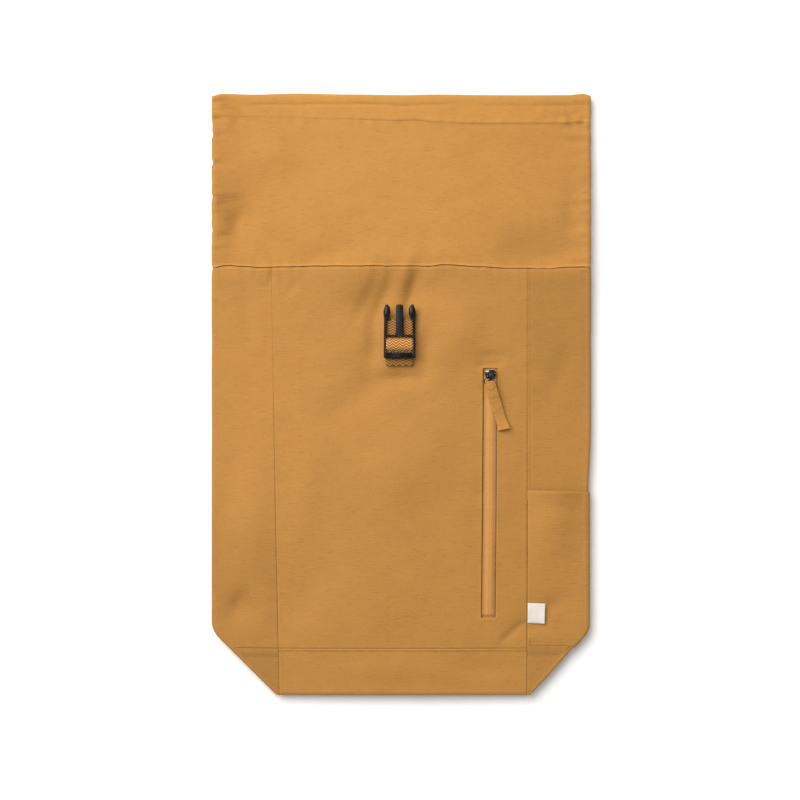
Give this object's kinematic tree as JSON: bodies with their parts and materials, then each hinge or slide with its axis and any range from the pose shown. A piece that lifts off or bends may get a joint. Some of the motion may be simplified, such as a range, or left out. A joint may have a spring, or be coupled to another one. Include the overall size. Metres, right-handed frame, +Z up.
{
  "type": "rolltop backpack, unrolled and lying flat",
  "caption": "Canvas rolltop backpack lying flat on its back with its collar unrolled, with front buckle, slanting zip pocket, side pocket and shoulder straps.",
  "frame": {"origin": "on the surface that the bag lies on, under the middle of its flat outline", "axes": "+X to the wearer's right, which is also the picture's right; +Y from the bottom edge to the mouth of the collar; +Z up, out of the bag's front"},
  "size_m": [0.4244, 0.6721, 0.0393],
  "materials": {
    "canvas": "mustard cotton canvas with a visible weave and slubs",
    "zip_tape": "tone-on-tone woven zip tape and nylon coil",
    "webbing": "tone-on-tone herringbone webbing",
    "buckle_plastic": "black acetal, fine satin",
    "dark_metal": "gunmetal plated zinc and steel wire",
    "label_cloth": "cream woven ribbon, left bare"
  },
  "bodies": {
    "root": {"front_panel": "canvas", "back_panel": "canvas", "front_band": "canvas", "back_band": "canvas", "base_panel": "canvas", "left_gusset": "canvas", "left_gusset_toe": "canvas", "right_gusset": "canvas", "right_gusset_toe": "canvas", "collar_front": "canvas", "collar_back": "canvas", "side_pocket": "canvas", "side_label": "label_cloth", "zip_tape_left": "zip_tape", "zip_tape_right": "zip_tape", "zip_coil": "zip_tape", "zip_slider": "dark_metal", "zip_ring": "dark_metal", "zip_puller": "canvas", "buckle_webbing": "webbing", "buckle_male": "buckle_plastic", "closure_strap": "webbing", "buckle_female": "buckle_plastic", "left_shoulder_pad": "canvas", "left_pad_loop": "webbing", "left_ladder_lock": "buckle_plastic", "left_lower_webbing": "webbing", "right_shoulder_pad": "canvas", "right_pad_loop": "webbing", "right_ladder_lock": "buckle_plastic", "right_lower_webbing": "webbing"}
  },
  "joints": []
}
